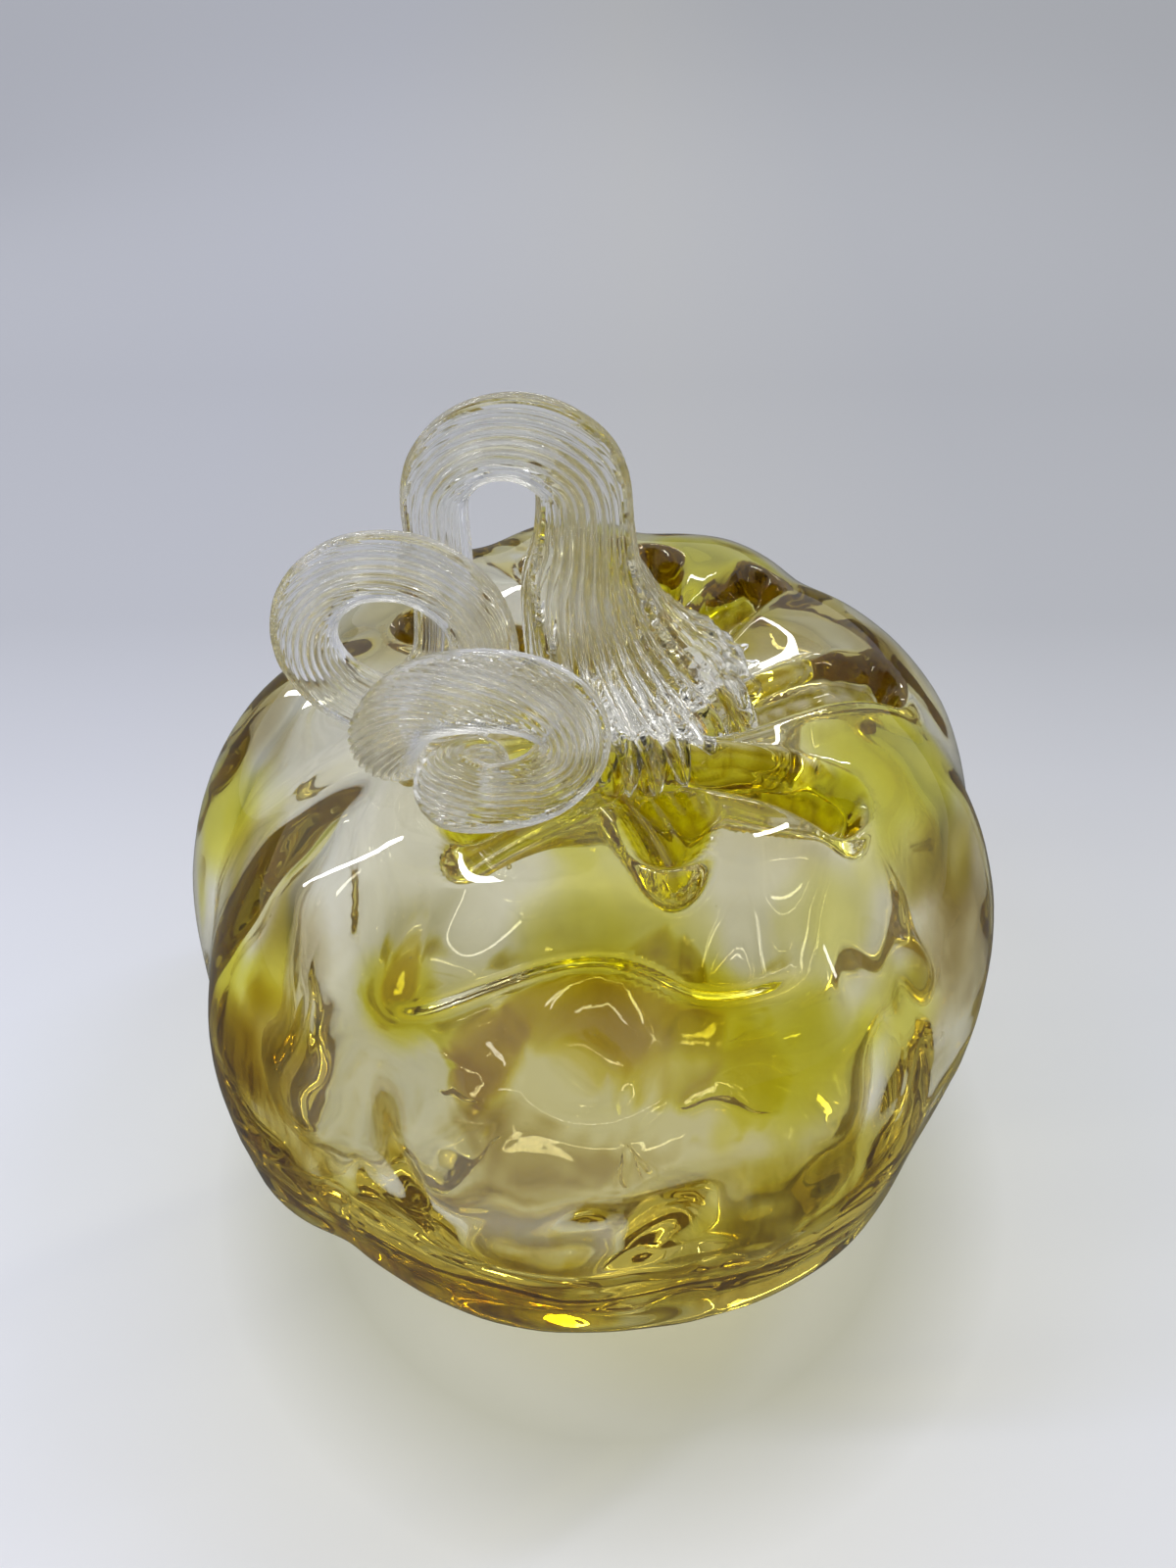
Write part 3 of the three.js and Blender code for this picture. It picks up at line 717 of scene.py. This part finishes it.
# The foot sits on the crown: its points are lifted to just above the body straight below them
x = cane.node("ShaderNodeSeparateXYZ", (), {0: cane.node("GeometryNodeInputPosition")})
overhead = cane.node("ShaderNodeCombineXYZ", (), {"X": x, "Y": x.beside("Y"), "Z": 1.0})
body_form = cane.node("GeometryNodeObjectInfo", {"transform_space": "RELATIVE"}, {
    "Object": cane.beside("Body"),
}, output="Geometry")
crown = cane.node("GeometryNodeRaycast", (), {
    "Target Geometry": body_form, "Source Position": overhead, "Ray Direction": (0, 0, -1),
    "Ray Length": 1.0,
}, output="Hit Position")
crown = cane.node("ShaderNodeSeparateXYZ", (), {0: crown}, output="Z")
over_hole = crown.maths("LESS_THAN", cane.beside("Hole height"))
seat = crown + over_hole * (cane.beside("Crown height") - crown) + cane.beside("Seat gap")
seated = cane.node("ShaderNodeCombineXYZ", (), {
    "X": x, "Y": x.beside("Y"), "Z": x.beside("Z").at_least(seat),
})
in_foot = kept(cane, "factor").maths("LESS_THAN", cane.beside("Foot end"))
solid = cane.node("GeometryNodeSetPosition", (), {
    "Geometry": solid, "Selection": in_foot, "Position": seated,
})
solid = cane.node("GeometryNodeSetShadeSmooth", (), {"Geometry": solid})
finish_tree(cane, solid, cane.beside("Glass"))

stem_tint = (0.985, 0.985, 0.97, 1)
stem_shadow = (0.97, 0.97, 0.94)
stem_haze = (0.72, 0.69, 0.56)
stem_density = 14.0

stem_glass, glass = new_material("stem_glass")
blow(glass, stem_tint, stem_shadow, stem_haze, stem_density)
wound_stem = grow(stem_line, cane_tree, {
    "Ribs": rib_count, "Points per rib": points_per_rib, "Smoothness": smoothness, "Cane rib": cane_rib,
    "Finger rib": finger_rib, "Bead length": bead_length, "Bead share": bead_share,
    "Even twist": even_twist, "Loop twist": loop_twist, "Loop start": loop_start,
    "Cane radius": cane_radius, "Foot radius": foot_radius, "Least radius": least_radius,
    "Root depth": root_depth, "Foot end": foot_end, "Hole height": hole_height,
    "Crown height": crown_height, "Seat gap": seat_gap, "Body": blown_body, "Glass": stem_glass,
}, "wound_stem")
bpy.data.objects.remove(stem_line)
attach(wound_stem, "root")
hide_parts("stem")

# The seeds: small bubbles of air that stayed in the wall when the glass was gathered. They lie at
# random a few millimetres inside both skins, and the largest are 0.9 mm wide.
seeds_per_square_metre = 500.0
seed_radii = (0.12 * mm, 0.45 * mm)
seed_depths = (1.2 * mm, 3.5 * mm)
seed_chance = 4
seed_roundness = 2
small_share = 3  # the higher, the fewer of the seeds are large

seed_tree, wall = new_tree("seed_bubbles", {
    "Seeds per square metre": "Float", "Least radius": "Float", "Most radius": "Float",
    "Least depth": "Float", "Most depth": "Float", "Chance": "Int", "Air": "Material",
})
spots = wall.node("GeometryNodeDistributePointsOnFaces", {"distribute_method": "RANDOM"}, {
    "Mesh": wall, "Density": wall.beside("Seeds per square metre"), "Seed": wall.beside("Chance"),
})
normal = spots.beside("Normal")
depth = wall.node("FunctionNodeRandomValue", {"data_type": "FLOAT"}, {
    2: wall.beside("Least depth"), 3: wall.beside("Most depth"), "Seed": wall.beside("Chance"),
}, output=1)
draw = wall.node("FunctionNodeRandomValue", {"data_type": "FLOAT"}, {
    2: 0.0, 3: 1.0, "Seed": wall.beside("Chance") + 1,
}, output=1)
growth = wall.beside("Most radius") - wall.beside("Least radius")
radius = wall.beside("Least radius") + draw ** small_share * growth
inwards = wall.node("ShaderNodeVectorMath", {"operation": "SCALE"}, {0: normal, "Scale": 0 - depth})
spots = wall.node("GeometryNodeSetPosition", (), {"Geometry": spots, "Offset": inwards})
ball = wall.node("GeometryNodeMeshIcoSphere", (), {"Radius": 1.0, "Subdivisions": seed_roundness})
ball = wall.node("GeometryNodeSetShadeSmooth", (), {"Geometry": ball})
spots = wall.node("GeometryNodeInstanceOnPoints", (), {"Points": spots, "Instance": ball, "Scale": radius})
finish_tree(wall, spots, wall.beside("Air"))

seed_air, air = new_material("seed_air")
blow(air, (1, 1, 1, 1), (1, 1, 1), bend=1 / glass_bend)
seed_bubbles = grow(blown_body, seed_tree, {
    "Seeds per square metre": seeds_per_square_metre, "Least radius": seed_radii[0],
    "Most radius": seed_radii[1], "Least depth": seed_depths[0], "Most depth": seed_depths[1],
    "Chance": seed_chance, "Air": seed_air,
}, "seed_bubbles")
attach(seed_bubbles, "root")

# The floor: a sheet of pale paper under and behind the pumpkin. Its tones are painted light and shade:
# bright at the front, painted shade towards the back, and lighter again far off. Each tone has its place
# on the sheet in mm, from the front to the back.
floor_reach = 3.0
floor_drop = 0.2 * mm
floor_shade_tones = (
    (-110, (0.84, 0.84, 0.87)), (0, (0.74, 0.75, 0.775)), (60, (0.67, 0.675, 0.70)),
    (110, (0.58, 0.585, 0.61)), (180, (0.475, 0.48, 0.50)), (350, (0.445, 0.45, 0.47)),
    (1027, (0.62, 0.625, 0.64)),
)
# Painted light across the paper: cooler and lighter on the left, darker on the right, as if lit from the
# left
side_light_tones = ((0.0, (0.985, 1.0, 1.08)), (0.6, (1, 1, 1)), (1.0, (0.93, 0.94, 0.97)))
side_light_width = 0.3
# A ring of painted shadow on the paper round the pumpkin's foot: none within 40 mm of its middle, darkest
# at 66 mm, gone at 90 mm
foot_shade = (
    (0.40, (1, 1, 1)), (0.66, (0.76, 0.76, 0.70)), (0.76, (0.85, 0.85, 0.82)), (0.90, (1, 1, 1)),
)
shade_reach = 0.1
shade_middle = (4 * mm, -12 * mm, 0)
mirrored_tone = (0.12, 0.12, 0.12, 1)  # the glass mirrors a darker floor than the camera sees
paper_roughness = 0.9
paper_shine = 0.1

floor_mesh = bpy.data.meshes.new("floor")
corners = ((-1, -1), (1, -1), (1, 1), (-1, 1))
corners = [(x * floor_reach, y * floor_reach, -floor_drop) for x, y in corners]
floor_mesh.from_pydata(corners, [], [(0, 1, 2, 3)])
floor = bpy.data.objects.new("floor", floor_mesh)
bpy.context.scene.collection.objects.link(floor)
paper, sheet = new_material("paper")
place = sheet.node("ShaderNodeTexCoord", output="Object")
x = sheet.node("ShaderNodeSeparateXYZ", (), {0: place})
first, last = floor_shade_tones[0][0] * mm, floor_shade_tones[-1][0] * mm
stops = [((at * mm - first) / (last - first), colour) for at, colour in floor_shade_tones]
tone = sheet.node("ShaderNodeValToRGB", {"stops": stops}, {0: (x.beside("Y") - first) / (last - first)})
aside = sheet.node("ShaderNodeValToRGB", {"stops": side_light_tones}, {0: x / side_light_width + 0.5})
from_foot = sheet.node("ShaderNodeVectorMath", {"operation": "DISTANCE"}, {
    0: place, 1: shade_middle,
}, output="Value")
shade = sheet.node("ShaderNodeValToRGB", {"stops": foot_shade}, {0: from_foot / shade_reach})
# The paper's tone, times the painted side light and the painted shadow ring
for painted_shading in (aside, shade):
    tone = sheet.node("ShaderNodeMix", {"data_type": "RGBA", "blend_type": "MULTIPLY"}, {
        0: 1.0, 6: tone, 7: painted_shading,
    }, output=2)
glossy = sheet.node("ShaderNodeLightPath", output="Is Glossy Ray")
mirrored = glossy * (1 - glossy.beside("Is Transmission Ray"))
tone = sheet.node("ShaderNodeMix", {"data_type": "RGBA"}, {
    0: mirrored, 6: tone, 7: mirrored_tone,
}, output=2)
matt = sheet.node("ShaderNodeBsdfPrincipled", (), {
    "Base Color": tone, "Roughness": paper_roughness, "Specular IOR Level": paper_shine,
})
sheet.node("ShaderNodeOutputMaterial", (), {"Surface": matt})
floor_mesh.materials.append(paper)
floor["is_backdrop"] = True

# The light: a bright room with a white ceiling, darker walls, a dark place where the person with the
# phone stands, and narrow windows and lamps that draw thin lines on the glass.
room_tones = (
    (0.0, (0.34, 0.35, 0.37)), (0.5, (0.38, 0.39, 0.42)), (0.62, (0.48, 0.50, 0.53)),
    (0.85, (0.80, 0.81, 0.83)), (1.0, (0.86, 0.86, 0.86)),
)
room_strength = 1.12
front_wall, back_wall = -0.85, 0.1  # the room is darker by a half from one to the other
front_share = 0.5
person_direction = (0, -0.63, 0.777)
person_edge, person_middle = 0.76, 0.92
person_share = 0.1
light_bounces = 32  # enough for the light to cross both walls and the stem many times
# Each lamp: its place, its two sizes and its power in watts
lamps = {
    "window_left": ((-0.50, -0.05, 0.65), (0.03, 0.45), 1.5),
    "window_right": ((0.42, 0.2, 0.75), (0.03, 0.30), 1.2),
    "window_back": ((0.05, 0.6, 0.6), (0.5, 0.03), 1.0),
    "lamp_left": ((-0.45, 0.45, 0.22), (0.02, 0.12), 0.12),
    "lamp_right": ((0.62, -0.25, 0.30), (0.02, 0.12), 0.12),
}

scene = bpy.context.scene
scene.world = bpy.data.worlds.new("room")
scene.world.use_nodes = True
scene.world.node_tree.nodes.clear()
room = Wire(scene.world.node_tree)
direction = room.node("ShaderNodeTexCoord", output="Generated")
y = room.node("ShaderNodeSeparateXYZ", (), {0: direction}, output="Y")
walls = room.node("ShaderNodeValToRGB", {"stops": room_tones}, {0: y.beside("Z") * 0.5 + 0.5})
behind_camera = room.node("ShaderNodeMapRange", {"interpolation_type": "SMOOTHSTEP"}, {
    "Value": y, "From Min": front_wall, "From Max": back_wall, "To Min": front_share, "To Max": 1.0,
})
facing = room.node("ShaderNodeVectorMath", {"operation": "DOT_PRODUCT"}, {
    0: direction, 1: person_direction,
}, output="Value")
person = room.node("ShaderNodeMapRange", {"interpolation_type": "SMOOTHSTEP"}, {
    "Value": facing, "From Min": person_edge, "From Max": person_middle, "To Min": 1.0,
    "To Max": person_share,
})
walls = room.node("ShaderNodeVectorMath", {"operation": "SCALE"}, {
    0: walls, "Scale": behind_camera * person,
})
sky = room.node("ShaderNodeBackground", (), {"Color": walls, "Strength": room_strength})
room.node("ShaderNodeOutputWorld", (), {"Surface": sky})
for name, (place, size, power) in lamps.items():
    lamp = bpy.data.objects.new(name, bpy.data.lights.new(name, "AREA"))
    lamp.data.shape = "RECTANGLE"
    lamp.data.size, lamp.data.size_y = size
    lamp.data.energy = power
    lamp.location = place
    lamp.rotation_euler = Vector(place).to_track_quat("Z", "Y").to_euler()
    scene.collection.objects.link(lamp)
scene.view_settings.view_transform = "Standard"
scene.cycles.caustics_refractive = False
scene.cycles.caustics_reflective = False
scene.cycles.max_bounces = light_bounces
scene.cycles.transmission_bounces = light_bounces
scene.cycles.glossy_bounces = light_bounces

low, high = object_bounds()
